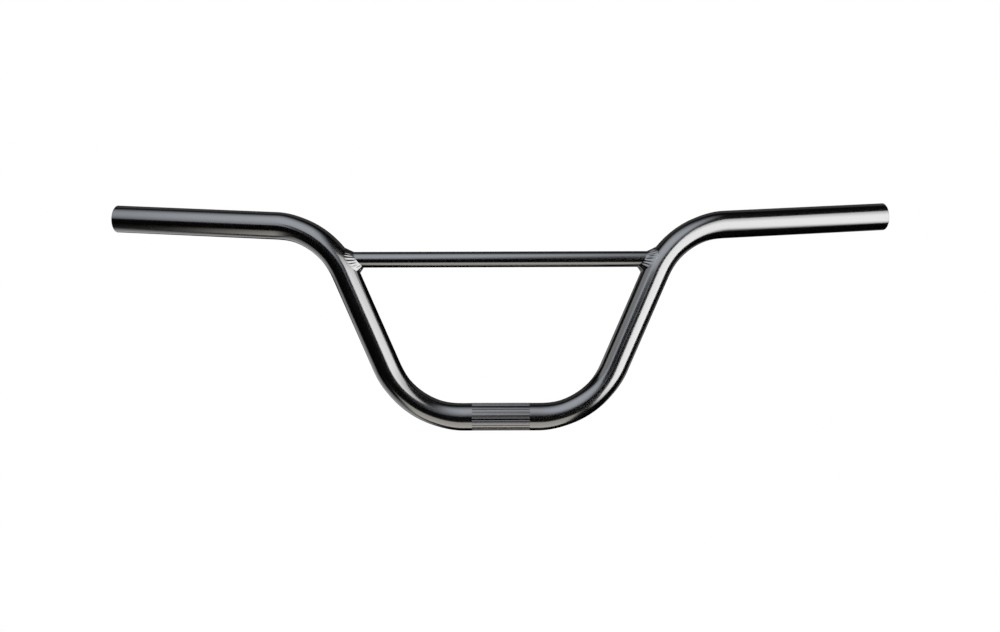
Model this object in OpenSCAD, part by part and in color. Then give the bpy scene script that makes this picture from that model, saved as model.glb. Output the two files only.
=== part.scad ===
// Bicycle motocross handlebar: one bent steel tube, a coped crossbar between
// its legs, and the two fillet beads that weld the crossbar on.
// The origin is the centre of the stem clamp. +X runs to the right-hand grip,
// +Z is up, and the grips sweep back towards +Y. All sizes are in millimetres.

/* [Bar geometry] */
// Distance between the centres of the two open ends
bar_width = 634; // [560:1:760]
// Height of the open ends' centres above the clamp's centre
rise = 162; // [135:1:230]
// Straight length between the two lower bends, where the stem clamps
clamp_straight = 60; // [50:1:90]
// Angle of the legs above the horizontal
leg_angle = 66.3; // [58:0.1:80]
// Backward sweep of the grips, seen from above
backsweep = 11; // [0:0.5:14]
// Upward sweep of the grips, seen from the front
upsweep = 3.3; // [0:0.1:6]

/* [Main tube] */
// Outside diameter, which stems, grips and levers fit
tube_od = 22.2; // [21:0.1:25.4]
// Wall thickness
tube_wall = 1.6; // [0.9:0.1:3]
// Centreline radius of all four bends, set by the bending die
bend_radius = 66.6; // [50:0.2:75]
// How far the tube draws in at a bend, on its radius
bend_draw = 0.25; // [0.1:0.05:0.5]
// Length of straight tube over which it draws in
draw_length = 3; // [2:0.5:6]
// Bevel left by deburring the sawn ends
end_bevel = 0.4; // [0.1:0.1:0.8]

/* [Knurl under the stem] */
// Length of the splined band
knurl_length = 46; // [20:1:48]
// Number of grooves around the tube
knurl_grooves = 32; // [16:1:40]
// Width of a groove at the tube's surface
groove_width = 1.1; // [0.4:0.1:1.5]
// Depth of a groove
groove_depth = 0.2; // [0.1:0.05:0.6]

/* [Crossbar] */
// Height of the crossbar's axis above the clamp's centre
crossbar_height = 126; // [70:1:136]
// Outside diameter of the crossbar
crossbar_od = 12.7; // [10:0.1:16]
// Wall thickness of the crossbar
crossbar_wall = 1.2; // [0.7:0.1:2.5]

/* [Weld beads] */
// Leg of the fillet, along the crossbar and along the main tube
weld_leg = 4.6; // [3:0.1:6]
// Crown of the bead's face, as a share of its width; below nought it is hollow
weld_crown = -0.03; // [-0.06:0.01:0.15]
// Number of ripples around a bead
weld_ripples = 22; // [12:1:30]
// Height of a ripple
ripple_height = 0.35; // [0:0.05:0.6]
// How far the middle of a ripple runs ahead of its toes, in ripples
ripple_lead = 0.6; // [0:0.1:1]

/* [Hidden] */
$fn = 96;
// A run's taper goes a fifth further in than the bend, so that the two cross cleanly
taper = 1.2*bend_draw;
tube_r = tube_od/2;
bore_r = tube_r - tube_wall;
crossbar_r = crossbar_od/2;

function unit(v) = v/norm(v);
function flip(v) = [-v.x, v.y, v.z];

// Directions of the right leg and of the right grip
leg_dir = [cos(leg_angle), 0, sin(leg_angle)];
grip_dir = [cos(upsweep)*cos(backsweep), cos(upsweep)*sin(backsweep), sin(upsweep)];

// Corners of the right half's centreline. The leg and the grip reach out and
// up to the end, which fixes both their lengths.
low_corner = [clamp_straight/2 + bend_radius*tan(leg_angle/2), 0, 0];
out = bar_width/2 - low_corner.x;
spread = leg_dir.z*grip_dir.x - leg_dir.x*grip_dir.z;
high_corner = low_corner + (grip_dir.x*rise - grip_dir.z*out)/spread*leg_dir;
bar_end = high_corner + (leg_dir.z*out - leg_dir.x*rise)/spread*grip_dir;

// The whole centreline, from the left end to the right end
corners = [flip(bar_end), flip(high_corner), flip(low_corner),
           low_corner, high_corner, bar_end];
last = len(corners) - 1;
function dir(i) = unit(corners[i + 1] - corners[i]);
function turn(i) = acos(dir(i - 1)*dir(i));
function trim(i) = i == 0 || i == last ? 0 : bend_radius*tan(turn(i)/2);
function run_length(i) = norm(corners[i + 1] - corners[i]) - trim(i) - trim(i + 1);

// Puts a child's Z axis along direction d from point p
module along(p, d) {
  translate(p) rotate([0, acos(d.z), atan2(d.y, d.x)]) children();
}

// Straight run i of the centreline, as a solid of radius r that draws in
// wherever a bend follows
module straight(i, r) {
  l = run_length(i);
  first = i > 0;
  second = i < last - 1;
  along(corners[i] + trim(i)*dir(i), dir(i)) rotate_extrude()
    polygon([[0, 0], if (first) [r - taper, 0], [r, first ? draw_length : 0],
             [r, second ? l - draw_length : l], if (second) [r - taper, l], [0, l]]);
}

// The bend at corner i, as a solid of radius r that laps into both runs
module bend(i, r) {
  n = unit(cross(dir(i - 1), dir(i)));
  x = cross(dir(i - 1), n);
  y = dir(i - 1);
  c = corners[i] - trim(i)*y - bend_radius*x;
  share = draw_length/2/bend_radius*180/PI;
  multmatrix([[x.x, y.x, n.x, c.x], [x.y, y.y, n.y, c.y], [x.z, y.z, n.z, c.z]])
    rotate([0, 0, -share]) rotate_extrude(angle = turn(i) + 2*share, $fn = 360)
      translate([bend_radius, 0]) circle(r = r);
}

// Everything within r of the centreline, drawn in at the bends
module tube_run(r) {
  for (i = [0:last - 1]) straight(i, r);
  for (i = [1:last - 1]) bend(i, r - bend_draw);
}

// Cuts an open end: past the end is air, and both edges are bevelled
module end_cut() {
  rotate_extrude() polygon([[tube_r - end_bevel, 0], [tube_r + 1, -end_bevel - 1],
                            [tube_r + 1, 1], [tube_r - end_bevel, 1]]);
  translate([0, 0, -end_bevel]) cylinder(r1 = bore_r, r2 = bore_r + 2*end_bevel, h = 2*end_bevel);
  translate([0, 0, -1]) cylinder(r = bore_r, h = 2);
}

// One groove of the knurl, along X at the top of the tube
module groove() {
  rotate([90, 0, 90]) linear_extrude(height = knurl_length, center = true)
    polygon([[-groove_width/4, tube_r - groove_depth], [groove_width/4, tube_r - groove_depth],
             [groove_width*3/4, tube_r + groove_depth], [-groove_width*3/4, tube_r + groove_depth]]);
}

module main_tube() {
  color("#16171a") difference() {
    tube_run(tube_r);
    tube_run(bore_r);
    along(corners[last], dir(last - 1)) end_cut();
    along(corners[0], -dir(0)) end_cut();
    for (i = [0:knurl_grooves - 1]) rotate([i*360/knurl_grooves, 0, 0]) groove();
  }
}

// The crossbar is coped at both ends to the outside of the main tube
module crossbar() {
  reach = 2*(low_corner.x + crossbar_height/tan(leg_angle));
  color("#1b1c1f") difference() {
    translate([0, 0, crossbar_height]) rotate([0, 90, 0])
      cylinder(r = crossbar_r, h = reach, center = true);
    translate([0, 0, crossbar_height]) rotate([0, 90, 0])
      cylinder(r = crossbar_r - crossbar_wall, h = reach + 2, center = true);
    tube_run(tube_r);
  }
}

// The right upper bend: its normal, the way to its centre, and its centre
high_normal = unit(cross(leg_dir, grip_dir));
high_inward = cross(high_normal, leg_dir);
high_centre = high_corner - trim(last - 1)*leg_dir + bend_radius*high_inward;

// Distance of point q from the main tube's surface, beside the right leg and upper bend
function gap(q) =
  let (w = q - high_centre, h = w*high_normal, below = -w*leg_dir)
  (below > 0 ? norm(cross(q - low_corner, leg_dir))
             : norm([norm(w - h*high_normal) - bend_radius, h]))
  - tube_r + max(0, min(bend_draw, taper*(1 - below/draw_length)));

// The point of the tube's surface between a, outside it, and b, inside it
function seat(a, b, n = 28) =
  let (m = (a + b)/2)
  n == 0 ? m : gap(m) > 0 ? seat(m, b, n - 1) : seat(a, m, n - 1);

// The seam is where the crossbar's outside meets the tube, at angle phi round the crossbar
function radial(phi) = [0, cos(phi), sin(phi)];
function seam(phi) =
  let (q = [0, 0, crossbar_height] + crossbar_r*radial(phi))
  seat(q, q + [low_corner.x + q.z/tan(leg_angle), 0, 0]);

// A point at distance d from the seam, turned by angle a from the crossbar's
// side towards the tube, in the plane through the crossbar's axis
function beside(s, phi, a, d) = s + d*(cos(a)*[-1, 0, 0] + sin(a)*radial(phi));

// The angle a at which that point meets the tube, one leg from the seam
function toe(s, phi, lo = 0, hi = 180, n = 24) =
  let (m = (lo + hi)/2)
  n == 0 ? m
  : gap(beside(s, phi, m, weld_leg)) > 0 ? toe(s, phi, m, hi, n - 1)
  : toe(s, phi, lo, m, n - 1);

// The bead's face at angle phi, from t = 0 on the crossbar to t = 1 on the
// tube, raised in its middle by the crown and by lift
function face_point(phi, t, lift) =
  let (s = seam(phi), a = toe(s, phi),
       p = beside(s, phi, 0, weld_leg), q = beside(s, phi, a, weld_leg))
  p + t*(q - p) + 4*t*(1 - t)*(weld_crown*norm(q - p) + lift)*(beside(s, phi, a/2, 1) - s);

// The face runs past both toes into the metal, by this share of its width
sink = 0.06;
face_steps = 6;
ripple_steps = 5;
stations = weld_ripples*ripple_steps;
ring_points = face_steps + 4;

// One ring of the bead: its face, and three points sunk in the metal behind it
function ring(i) =
  let (phi = i*360/stations, s = seam(phi), a = toe(s, phi),
       lift = ripple_height*(sin(180*(i % ripple_steps)/ripple_steps) - 0.5))
  [for (j = [0:face_steps])
     let (t = j/face_steps*(1 + 2*sink) - sink)
     face_point(phi + 4*t*(1 - t)*ripple_lead*360/weld_ripples, t, lift),
   beside(s, phi, a + 8, weld_leg),
   beside(s, phi, (a + 360)/2, weld_leg/5),
   beside(s, phi, -8, weld_leg)];

// The right-hand bead, seated on the crossbar and on the main tube
module weld_bead() {
  color("#1d1e21") difference() {
    polyhedron(
      points = [for (i = [0:stations - 1]) each ring(i)],
      faces = [for (i = [0:stations - 1]) for (j = [0:ring_points - 1])
        let (k = (i + 1) % stations, l = (j + 1) % ring_points,
             a = i*ring_points + j, b = i*ring_points + l,
             c = k*ring_points + l, d = k*ring_points + j)
        each [[a, b, c], [a, c, d]]]);
    tube_run(tube_r);
    translate([0, 0, crossbar_height]) rotate([0, 90, 0])
      cylinder(r = crossbar_r, h = bar_width, center = true);
  }
}

module weld_right() { weld_bead(); }
module weld_left() { mirror([1, 0, 0]) weld_bead(); }

main_tube();
crossbar();
weld_left();
weld_right();
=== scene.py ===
import math

import bmesh
import bpy
from mathutils import Matrix, Vector


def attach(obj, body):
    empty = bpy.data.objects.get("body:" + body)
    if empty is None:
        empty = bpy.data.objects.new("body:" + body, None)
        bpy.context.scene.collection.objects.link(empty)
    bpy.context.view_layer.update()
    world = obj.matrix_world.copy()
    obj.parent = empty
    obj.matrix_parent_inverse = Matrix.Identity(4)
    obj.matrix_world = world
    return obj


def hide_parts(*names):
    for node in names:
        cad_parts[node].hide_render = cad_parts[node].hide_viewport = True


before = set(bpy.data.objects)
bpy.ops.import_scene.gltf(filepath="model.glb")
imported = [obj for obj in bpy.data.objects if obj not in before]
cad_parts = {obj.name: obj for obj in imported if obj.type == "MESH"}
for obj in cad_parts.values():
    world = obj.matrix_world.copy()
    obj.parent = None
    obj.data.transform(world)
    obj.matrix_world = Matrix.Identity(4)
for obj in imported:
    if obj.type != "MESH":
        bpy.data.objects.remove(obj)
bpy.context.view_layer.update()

# The camera stands a metre in front of the stem clamp, level with the middle of
# the bar. It has a normal lens and leans a sixth of a degree to one side.
camera_distance, camera_height, camera_lean = 1, 0.0803, 0.0030
camera = bpy.data.objects.new("camera", bpy.data.cameras.new("camera"))
bpy.context.scene.collection.objects.link(camera)
camera.location = (0, -camera_distance, camera_height)
camera.rotation_euler = (math.pi / 2, camera_lean, 0)
camera.data.sensor_width = 36
camera.data.lens = 44.93
camera.data.shift_x, camera.data.shift_y = -0.0006, 0.0004
bpy.context.scene.camera = camera


# The main tube is one length of steel tube, splined under the stem by a roller,
# bent four times round a die, sawn off and deburred. It is sprayed gloss black
# after the crossbar is welded on.
mm = 0.001
bar_width, rise, clamp_straight = 634 * mm, 162 * mm, 60 * mm
leg_angle, backsweep, upsweep = math.radians(66.3), math.radians(11), math.radians(3.3)
tube_r, tube_wall, bend_radius, end_bevel = 11.1 * mm, 1.6 * mm, 66.6 * mm, 0.4 * mm
knurl_half, knurl_grooves, groove_depth, groove_runout = 23 * mm, 32, 0.3 * mm, 0.12 * mm
bend_flat, bend_ease = 0.063, math.radians(20)
sides_per_groove, bend_steps, leg_steps, grip_steps = 6, 32, 6, 8
# Narrow bands of faces keep the shading crisp beside the knurl and at the open ends
knurl_band, end_band = 0.05 * mm, 0.6 * mm
# Nothing of the tube is further than its reach from its own centreline
tube_reach = 1.1 * tube_r
touching = 0.001 * mm

leg_dir = Vector((math.cos(leg_angle), 0, math.sin(leg_angle)))
grip_dir = Vector((math.cos(upsweep) * math.cos(backsweep),
                   math.cos(upsweep) * math.sin(backsweep), math.sin(upsweep)))
low_corner = Vector((clamp_straight / 2 + bend_radius * math.tan(leg_angle / 2), 0, 0))
out = bar_width / 2 - low_corner.x
spread = leg_dir.z * grip_dir.x - leg_dir.x * grip_dir.z
high_corner = low_corner + (grip_dir.x * rise - grip_dir.z * out) / spread * leg_dir
bar_end = high_corner + (leg_dir.z * out - leg_dir.x * rise) / spread * grip_dir


class Bend:
    """A quarter-turn or less of the tube round the bending die."""

    def __init__(self, corner, before, after):
        self.turn = before.angle(after)
        self.normal = before.cross(after).normalized()
        self.start = corner - bend_radius * math.tan(self.turn / 2) * before
        self.end = corner + bend_radius * math.tan(self.turn / 2) * after
        self.centre = self.start + bend_radius * self.normal.cross(before)
        self.outward, self.ahead = -self.normal.cross(before), before

    def place(self, point):
        """The point's angle round the die, and its two offsets from the centreline."""
        from_centre = point - self.centre
        level = from_centre.dot(self.normal)
        flat = from_centre - level * self.normal
        angle = math.atan2(flat.dot(self.ahead), flat.dot(self.outward))
        return angle, flat.length - bend_radius, level

    def squeeze(self, angle):
        """The share that is left of the tube's height in the plane of the bend."""
        eased = max(0, min(1, angle / bend_ease, (self.turn - angle) / bend_ease))
        return 1 - bend_flat * eased * eased * (3 - 2 * eased)

    def flatten(self, verts):
        """Flattens the tube where it lies in the bend, as the die does."""
        for v in verts:
            angle, offset, level = self.place(v.co)
            if 0 < angle < self.turn and abs(offset) < tube_reach and abs(level) < tube_reach:
                away = math.cos(angle) * self.outward + math.sin(angle) * self.ahead
                v.co += offset * (self.squeeze(angle) - 1) * away


low_bend = Bend(low_corner, Vector((1, 0, 0)), leg_dir)
high_bend = Bend(high_corner, leg_dir, grip_dir)


def run(bm, ring, way, steps):
    """Draws the open ring of edges along a straight way, in even steps."""
    for _ in range(steps):
        geom = bmesh.ops.extrude_edge_only(bm, edges=ring)["geom"]
        corners = [g for g in geom if isinstance(g, bmesh.types.BMVert)]
        bmesh.ops.translate(bm, vec=way / steps, verts=corners)
        ring = [g for g in geom if isinstance(g, bmesh.types.BMEdge) and len(g.link_faces) == 1]
    return ring


def turn_ring(bm, ring, bend, steps):
    """Spins the open ring of edges round the bending die."""
    geom = bmesh.ops.spin(bm, geom=ring, cent=bend.centre, axis=bend.normal,
                          angle=bend.turn, steps=steps)["geom_last"]
    return [g for g in geom if isinstance(g, bmesh.types.BMEdge)]


def make_whole(bm):
    """Mirrors the right half to the left, closes the seam and turns the faces outwards."""
    bmesh.ops.mirror(bm, geom=bm.verts[:] + bm.edges[:] + bm.faces[:], axis="X", merge_dist=touching)
    bmesh.ops.remove_doubles(bm, verts=bm.verts, dist=touching)
    bmesh.ops.recalc_face_normals(bm, faces=bm.faces)


def at_open_end(v):
    """Whether the vertex lies in the sawn face of either open end."""
    from_end = Vector((abs(v.co.x), v.co.y, v.co.z)) - bar_end
    return abs(from_end.dot(grip_dir)) < touching


def finished(bm, name):
    """Makes the mesh an object of the scene."""
    mesh = bpy.data.meshes.new(name)
    bm.to_mesh(mesh)
    bm.free()
    piece = bpy.data.objects.new(name, mesh)
    bpy.context.scene.collection.objects.link(piece)
    return piece


bm = bmesh.new()
sides = sides_per_groove * knurl_grooves
bmesh.ops.create_circle(bm, segments=sides, radius=tube_r)
bmesh.ops.rotate(bm, cent=(0, 0, 0), matrix=Matrix.Rotation(math.pi / sides, 3, "Z"), verts=bm.verts)
bmesh.ops.rotate(bm, cent=(0, 0, 0), matrix=Matrix.Rotation(math.pi / 2, 3, "Y"), verts=bm.verts)
ring = bm.edges[:]
across = Vector((1, 0, 0))
ring = run(bm, ring, (knurl_half - groove_runout) * across, 2)
ring = run(bm, ring, groove_runout * across, 1)
ring = run(bm, ring, knurl_band * across, 1)
ring = run(bm, ring, (clamp_straight / 2 - knurl_half - knurl_band) * across, 1)
ring = turn_ring(bm, ring, low_bend, bend_steps)
ring = run(bm, ring, high_bend.start - low_bend.end, leg_steps)
ring = turn_ring(bm, ring, high_bend, bend_steps)
ring = run(bm, ring, bar_end - high_bend.end - 2 * end_band * grip_dir, grip_steps)
ring = run(bm, ring, 2 * end_band * grip_dir, 2)
# The two corners of the circle nearest a groove's middle go down to its floor
for v in bm.verts:
    if v.co.x < knurl_half - groove_runout / 2 and abs(v.co.z) < tube_reach:
        turns = math.atan2(v.co.y, v.co.z) / math.tau * knurl_grooves
        if abs(turns - round(turns)) < 1 / sides_per_groove:
            v.co.yz *= 1 - groove_depth / tube_r
low_bend.flatten(bm.verts)
high_bend.flatten(bm.verts)
make_whole(bm)
for face in bm.faces:
    face.smooth = abs(face.calc_center_median().x) > knurl_half
bmesh.ops.solidify(bm, geom=bm.faces[:], thickness=tube_wall)
# The short edges of a sawn face run round its two rims, and the long ones cross the wall
rims = [e for e in bm.edges if e.calc_length() < tube_wall / 2 and all(at_open_end(v) for v in e.verts)]
bmesh.ops.bevel(bm, geom=rims, offset=end_bevel, offset_type="OFFSET", affect="EDGES",
                segments=3, profile=0.5, material=-1)
tube = finished(bm, "main_tube_skin")
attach(tube, "root")
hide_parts("main_tube")


def linear(code):
    """The linear colour of an sRGB hex code."""
    parts = [int(code[i:i + 2], 16) / 255 for i in (1, 3, 5)]
    return [part / 12.92 if part <= 0.04045 else ((part + 0.055) / 1.055) ** 2.4 for part in parts] + [1]


def new_finish(name):
    """A material whose nodes are still to be added."""
    finish = bpy.data.materials.new(name)
    finish.use_nodes = True
    finish.node_tree.nodes.clear()
    return finish


def add(tree, kind, settings={}, values={}, links={}):
    """Adds one node, with its settings, its sockets' values and its links."""
    node = tree.nodes.new(kind)
    for key, value in settings.items():
        setattr(node, key, value)
    for key, value in values.items():
        node.inputs[key].default_value = value
    for key, source in links.items():
        tree.links.new(source, node.inputs[key])
    return node


# Gloss black enamel, sprayed and baked: a deep black with a wet look, whose
# skin is faintly rippled like orange peel, from crest to crest in about 1.5 mm.
# Its gloss drifts a little from place to place.
peel_spacing, peel_depth, drift_spacing = 1.5 * mm, 0.01 * mm, 18 * mm
enamel = new_finish("gloss_black_enamel")
tree = enamel.node_tree
where = add(tree, "ShaderNodeTexCoord")
peel = add(tree, "ShaderNodeTexNoise", {}, {"Scale": 1 / peel_spacing, "Detail": 2, "Roughness": 0.5},
           {"Vector": where.outputs["Object"]})
peel_bump = add(tree, "ShaderNodeBump", {}, {"Strength": 0.2, "Distance": peel_depth},
                {"Height": peel.outputs["Fac"]})
drift = add(tree, "ShaderNodeTexNoise", {}, {"Scale": 1 / drift_spacing, "Detail": 3},
            {"Vector": where.outputs["Object"]})
gloss = add(tree, "ShaderNodeMapRange", {}, {"To Min": 0.16, "To Max": 0.22},
            {"Value": drift.outputs["Fac"]})
paint = add(tree, "ShaderNodeBsdfPrincipled", {},
            {"Base Color": linear("#070708"), "IOR": 1.55, "Coat Weight": 1, "Coat Roughness": 0.12,
             "Coat IOR": 1.55},
            {"Roughness": gloss.outputs["Result"], "Normal": peel_bump.outputs["Normal"]})
add(tree, "ShaderNodeOutputMaterial", {}, {}, {"Surface": paint.outputs["BSDF"]})
tube.data.materials.append(enamel)


# The crossbar is a thinner steel tube, coped at both ends to sit on the legs
# where the upper bends begin, and sprayed with the rest.
crossbar_r, crossbar_wall, crossbar_height = 6.35 * mm, 1.2 * mm, 126 * mm
crossbar_sides, plain_half, plain_steps = 128, 100 * mm, 10
# Each coped end has a ring just short of the seam, and one past it in the leg's wall
cope_rings = (-1 * mm, 0.4 * mm)


def gap(point):
    """Below nought inside the main tube's right half, and above nought outside."""
    angle, offset, level = high_bend.place(point)
    if angle > 0:
        return math.hypot(offset / high_bend.squeeze(angle), level) - tube_r
    return (point - low_corner).cross(leg_dir).length - tube_r


def edge_between(function, above, below, halvings=26):
    """Where the function of a number turns from above nought to below."""
    for _ in range(halvings):
        middle = (above + below) / 2
        above, below = (middle, below) if function(middle) > 0 else (above, middle)
    return (above + below) / 2


def seam(phi):
    """Where the crossbar's outside meets the leg, at angle phi round the crossbar."""
    y, z = crossbar_r * math.cos(phi), crossbar_height + crossbar_r * math.sin(phi)
    x = edge_between(lambda x: gap(Vector((x, y, z))), 0, low_corner.x + z / math.tan(leg_angle))
    return Vector((x, y, z))


bm = bmesh.new()
bmesh.ops.create_circle(bm, segments=crossbar_sides, radius=crossbar_r)
bmesh.ops.rotate(bm, cent=(0, 0, 0), matrix=Matrix.Rotation(math.pi / 2, 3, "Y"), verts=bm.verts)
bmesh.ops.translate(bm, vec=(0, 0, crossbar_height), verts=bm.verts)
ring = run(bm, bm.edges[:], plain_half * across, plain_steps)
for past_seam in cope_rings:
    ring = run(bm, ring, plain_half / plain_steps * across, 1)
    for v in {v for e in ring for v in e.verts}:
        v.co.x = seam(math.atan2(v.co.z - crossbar_height, v.co.y)).x + past_seam
make_whole(bm)
for face in bm.faces:
    face.smooth = True
bmesh.ops.solidify(bm, geom=bm.faces[:], thickness=crossbar_wall)
crossbar = finished(bm, "crossbar_skin")
crossbar.data.materials.append(enamel)
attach(crossbar, "root")
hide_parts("crossbar")


# Each joint of the crossbar is closed all round by a fillet of weld metal, laid
# by hand in overlapping drops, whose ripples still show under the enamel.
weld_leg, weld_crown, weld_ripples, ripple_height, ripple_lead = 4.6 * mm, -0.03, 22, 0.35 * mm, 0.6
# The face runs past both toes by this share of its width, and its root bows in to this depth
sink, root_depth = 0.06, weld_leg / 4
face_steps, root_steps, ripple_steps = 24, 6, 14
# The drops and the leg are uneven by a few waves: each one's size, count round the bead and start
drop_waves = ((0.12, 3, 0.6), (0.08, 7, 0))
leg_waves = ((0.03, 2, 1), (0.02, 5, 0))


def uneven(waves, phi):
    """The sum of the waves at angle phi round the bead."""
    return sum(size * math.sin(count * phi + start) for size, count, start in waves)


def beside(root, phi, angle, distance):
    """So far from the seam's point, turned by the angle from the crossbar to the leg."""
    return root + distance * Vector((-math.cos(angle), math.sin(angle) * math.cos(phi),
                                     math.sin(angle) * math.sin(phi)))


def toe(phi):
    """The seam's point, and the angle at which the tube lies one weld leg away from it."""
    root = seam(phi)
    return root, edge_between(lambda angle: gap(beside(root, phi, angle, weld_leg)), 0, math.pi)


# The toes worked out so far, by their share of a turn
toes = {}


def bead_point(turn, t):
    """On the bead's face, a share of a turn round it, t across it from toe to toe."""
    turn += 4 * t * (1 - t) * ripple_lead / weld_ripples
    phi = turn * math.tau
    key = round(turn % 1, 7)
    if key not in toes:
        toes[key] = toe(phi)
    root, angle = toes[key]
    drop = turn * weld_ripples + uneven(drop_waves, phi)
    lift = ripple_height * (abs(math.sin(math.pi * drop)) - 0.5)
    leg = weld_leg * (1 + uneven(leg_waves, phi))
    bar_toe, leg_toe = beside(root, phi, 0, leg), beside(root, phi, angle, leg)
    width = leg_toe - bar_toe
    crown = 4 * t * (1 - t) * (weld_crown * width.length + lift)
    return bar_toe + t * width + crown * (beside(root, phi, angle / 2, 1) - root)


def bead_vertex(turn, share):
    """Round the bead's whole section: its face first, then its root in the metal."""
    steps = share * (face_steps + root_steps)
    if steps <= face_steps:
        return bead_point(turn, steps / face_steps * (1 + 2 * sink) - sink)
    t = (steps - face_steps) / root_steps
    root, angle = toe(turn * math.tau)
    end, start = bead_point(turn, 1 + sink), bead_point(turn, -sink)
    deep = beside(root, turn * math.tau, (angle + math.tau) / 2, root_depth)
    return (1 - t) ** 2 * end + 2 * t * (1 - t) * deep + t * t * start


# A square grid one unit wide is wrapped round the joint and round the section, until its edges meet
bm = bmesh.new()
stations = weld_ripples * ripple_steps
bmesh.ops.create_grid(bm, x_segments=stations, y_segments=face_steps + root_steps, size=0.5)
for v in bm.verts:
    v.co = bead_vertex(v.co.x + 0.5, v.co.y + 0.5)
bmesh.ops.remove_doubles(bm, verts=bm.verts, dist=touching)
bmesh.ops.recalc_face_normals(bm, faces=bm.faces)
for face in bm.faces:
    face.smooth = True
for side in ("right", "left"):
    half = bm.copy()
    if side == "left":
        bmesh.ops.scale(half, vec=(-1, 1, 1), verts=half.verts)
        bmesh.ops.reverse_faces(half, faces=half.faces)
    bead = finished(half, "weld_" + side + "_skin")
    bead.data.materials.append(enamel)
    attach(bead, "root")
    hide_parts("weld_" + side)
bm.free()


# The studio has a pale floor more than a metre below the bar, which the enamel
# doesn't mirror, and a white wall all round. Black cloth hangs in front of the
# wall, so that the enamel shows only the lit cards.
floor_half, floor_height, cloth_radius = 3, -1.25, 5.5
bm = bmesh.new()
bmesh.ops.create_grid(bm, x_segments=1, y_segments=1, size=floor_half)
floor = finished(bm, "floor")
floor.location.z = floor_height
floor.visible_glossy = False
pale = new_finish("pale_matt_floor")
tree = pale.node_tree
light_path = add(tree, "ShaderNodeLightPath")
from_middle = add(tree, "ShaderNodeVectorMath", {"operation": "LENGTH"}, {},
                  {0: add(tree, "ShaderNodeTexCoord").outputs["Object"]})
# The floor glows towards its edges, where the lamps' light falls off, so that it runs out into the wall
outwards = add(tree, "ShaderNodeMapRange", {"interpolation_type": "SMOOTHSTEP"},
               {"From Min": 0.9, "From Max": 2.6, "To Min": 0.62}, {"Value": from_middle.outputs["Value"]})
seen = add(tree, "ShaderNodeMath", {"operation": "MULTIPLY"}, {},
           {0: light_path.outputs["Is Camera Ray"], 1: outwards.outputs["Result"]})
matt = add(tree, "ShaderNodeBsdfDiffuse", {}, {"Color": linear("#f4f4f3")})
glow = add(tree, "ShaderNodeEmission", {}, {"Color": (1, 1, 1, 1)}, {"Strength": seen.outputs["Value"]})
both = add(tree, "ShaderNodeAddShader", {}, {}, {0: matt.outputs[0], 1: glow.outputs[0]})
add(tree, "ShaderNodeOutputMaterial", {}, {}, {"Surface": both.outputs[0]})
floor.data.materials.append(pale)

bm = bmesh.new()
bmesh.ops.create_icosphere(bm, subdivisions=3, radius=cloth_radius)
cloth = finished(bm, "black_cloth")
cloth.visible_camera = cloth.visible_diffuse = cloth.visible_shadow = False
black = new_finish("black_cloth")
tree = black.node_tree
dull = add(tree, "ShaderNodeBsdfDiffuse", {}, {"Color": linear("#050505")})
add(tree, "ShaderNodeOutputMaterial", {}, {}, {"Surface": dull.outputs["BSDF"]})
cloth.data.materials.append(black)


# Lit cards hang round the bar, each cut to an outline and dimmed towards its
# edges. Only the enamel's gloss shows them: the lamps light the rest.
bar_middle = Vector((0, 0, 80 * mm))


def studio_card(name, azimuth, elevation, reach, outline, radiance, falls, tint="#ffffff"):
    """A card at some reach from the bar's middle, at an azimuth to the right of the camera's and an
    elevation. Its outline is in metres to the right and up from its middle, seen from behind it.
    Over a length at its left, right, lower and upper side its light falls to a share."""
    bm = bmesh.new()
    bm.faces.new([bm.verts.new((x, y, 0)) for x, y in outline])
    card = finished(bm, name)
    turned, raised = math.radians(azimuth), math.radians(elevation)
    way = Vector((math.sin(turned) * math.cos(raised), -math.cos(turned) * math.cos(raised),
                  math.sin(raised)))
    level = Vector((math.cos(turned), math.sin(turned), 0))
    up = way.cross(level)
    facing = Matrix((level, up, level.cross(up))).transposed().to_4x4()
    card.matrix_world = Matrix.Translation(reach * way + bar_middle) @ facing
    card.visible_camera = card.visible_diffuse = card.visible_shadow = False
    light = new_finish(name)
    tree = light.node_tree
    place = add(tree, "ShaderNodeSeparateXYZ", {}, {},
                {"Vector": add(tree, "ShaderNodeTexCoord").outputs["Object"]})
    across_it, up_it = [x for x, y in outline], [y for x, y in outline]
    edges = (("X", min(across_it), 1), ("X", max(across_it), -1),
             ("Y", min(up_it), 1), ("Y", max(up_it), -1))
    # The four falls are multiplied, and the first of them carries the radiance
    strength = None
    for (axis, edge, inwards), (length, share) in zip(edges, falls):
        top = radiance if strength is None else 1
        fall = add(tree, "ShaderNodeMapRange", {"interpolation_type": "SMOOTHSTEP"},
                   {"From Min": edge, "From Max": edge + inwards * length,
                    "To Min": share * top, "To Max": top},
                   {"Value": place.outputs[axis]}).outputs["Result"]
        strength = fall if strength is None else add(
            tree, "ShaderNodeMath", {"operation": "MULTIPLY"}, {}, {0: strength, 1: fall}).outputs["Value"]
    lit = add(tree, "ShaderNodeEmission", {}, {"Color": linear(tint)}, {"Strength": strength})
    add(tree, "ShaderNodeOutputMaterial", {}, {}, {"Surface": lit.outputs["Emission"]})
    card.data.materials.append(light)


def oblong(left, right, low, high):
    """An oblong outline that reaches so far to each side of the card's middle."""
    return [(-left, -low), (right, -low), (right, high), (-left, high)]


def to_dark(length):
    """Falls that take the light to nothing on all four sides."""
    return ((length, 0),) * 4


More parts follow.
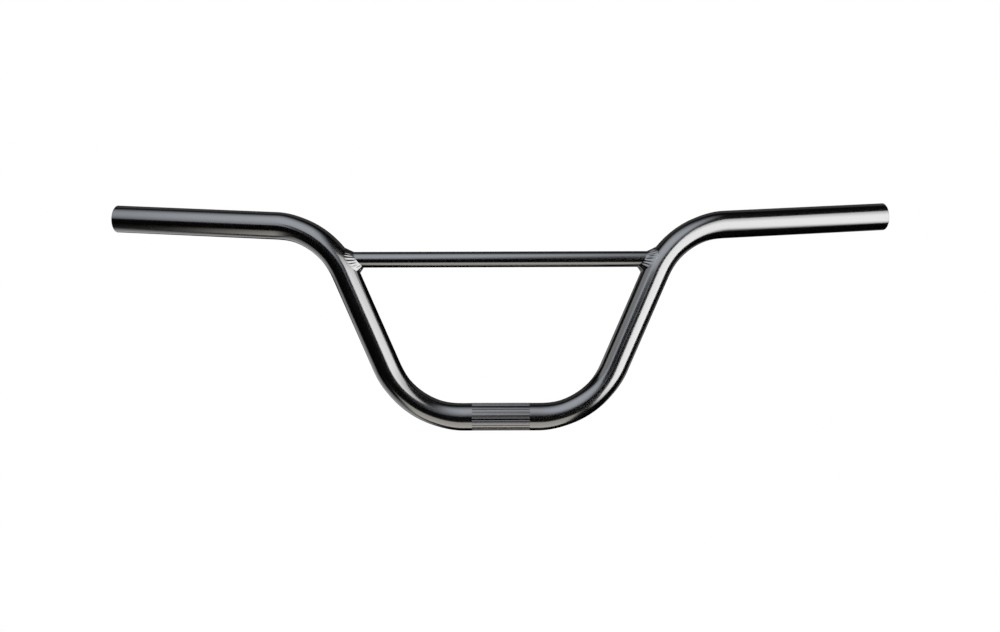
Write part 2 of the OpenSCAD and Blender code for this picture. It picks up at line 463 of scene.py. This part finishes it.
# The upper card's lower edge has a notch, which keeps the middle of the right leg dark
studio_card("card_above", azimuth=-22, elevation=46, reach=2,
            outline=[(-1.35, -1.83), (-0.4, -1.83), (-0.4, -0.94), (0.6, -1.41), (0.68, -1.83),
                     (1.3, -1.83), (1.3, 2.4), (-1.35, 2.4)],
            radiance=3.6, falls=((0.85, 0.45), (0.9, 0), (1.5, 0.6), (2.3, 0)), tint="#f1f6ff")
studio_card("card_left", azimuth=-68, elevation=19, reach=3,
            outline=oblong(1.5, 1.6, 0.4, 1.0), radiance=1.65, falls=to_dark(0.3))
# The right card narrows to a point at its foot
studio_card("card_right", azimuth=60, elevation=0, reach=3,
            outline=[(-3.15, 2.6), (-3.05, 0.4), (-2.75, -0.2), (-2.1, -1.05), (-0.15, -3.7),
                     (0.52, -1.52), (1.4, -0.7), (1.6, 2.6)],
            radiance=8.5, falls=((0.25, 0.5), (0.8, 0.35), (2.4, 0), (2.2, 0.5)))
studio_card("card_below", azimuth=0, elevation=-60, reach=1,
            outline=oblong(1.02, 0.5, 0.92, 0.27), radiance=3.0,
            falls=((0.4, 0), (0.1, 0), (0.1, 0), (0.1, 0)), tint="#fffaf2")
studio_card("card_far_left", azimuth=-138, elevation=14, reach=3,
            outline=oblong(0.9, 0.9, 0.6, 0.6), radiance=0.7, falls=to_dark(0.4))
studio_card("card_low_left", azimuth=-122, elevation=-34, reach=3,
            outline=oblong(1.8, 1.5, 1.3, 1.3), radiance=1.0, falls=to_dark(0.4))
studio_card("card_low_right", azimuth=138, elevation=-20, reach=3,
            outline=oblong(0.9, 0.9, 0.6, 0.6), radiance=0.4, falls=to_dark(0.4))
studio_card("card_high_behind", azimuth=180, elevation=50, reach=3,
            outline=oblong(2.5, 2.5, 1.2, 1.2), radiance=0.14, falls=to_dark(0.4))
studio_card("card_behind", azimuth=180, elevation=6, reach=3,
            outline=oblong(0.75, 0.75, 0.6, 0.6), radiance=1.4, falls=to_dark(0.35))


def soft_lamp(name, place, size, watts):
    """A soft box that lights the bar and the floor, aimed at the bar."""
    data = bpy.data.lights.new(name, "AREA")
    data.size, data.energy = size, watts
    lamp = bpy.data.objects.new(name, data)
    bpy.context.scene.collection.objects.link(lamp)
    lamp.location = place
    lamp.rotation_euler = Vector(place).to_track_quat("Z", "Y").to_euler()
    lamp.visible_camera = lamp.visible_glossy = False


soft_lamp("lamp_above", place=(-0.8, -1.6, 2.4), size=1.6, watts=60)
soft_lamp("lamp_right", place=(2.2, -1.4, 0.6), size=1.2, watts=25)

# The wall is white to whatever looks at it, and lights nothing
world = bpy.data.worlds.new("white_wall")
bpy.context.scene.world = world
world.use_nodes = True
tree = world.node_tree
tree.nodes.clear()
light_path = add(tree, "ShaderNodeLightPath")
seen = add(tree, "ShaderNodeMath", {"operation": "ADD"}, {},
           {0: light_path.outputs["Is Camera Ray"], 1: light_path.outputs["Is Glossy Ray"]})
seen = add(tree, "ShaderNodeMath", {"operation": "ADD", "use_clamp": True}, {},
           {0: seen.outputs["Value"], 1: light_path.outputs["Is Transmission Ray"]})
background = add(tree, "ShaderNodeBackground", {}, {"Color": (1, 1, 1, 1)},
                 {"Strength": seen.outputs["Value"]})
add(tree, "ShaderNodeOutputWorld", {}, {}, {"Surface": background.outputs["Background"]})
bpy.context.scene.view_settings.view_transform = "Standard"
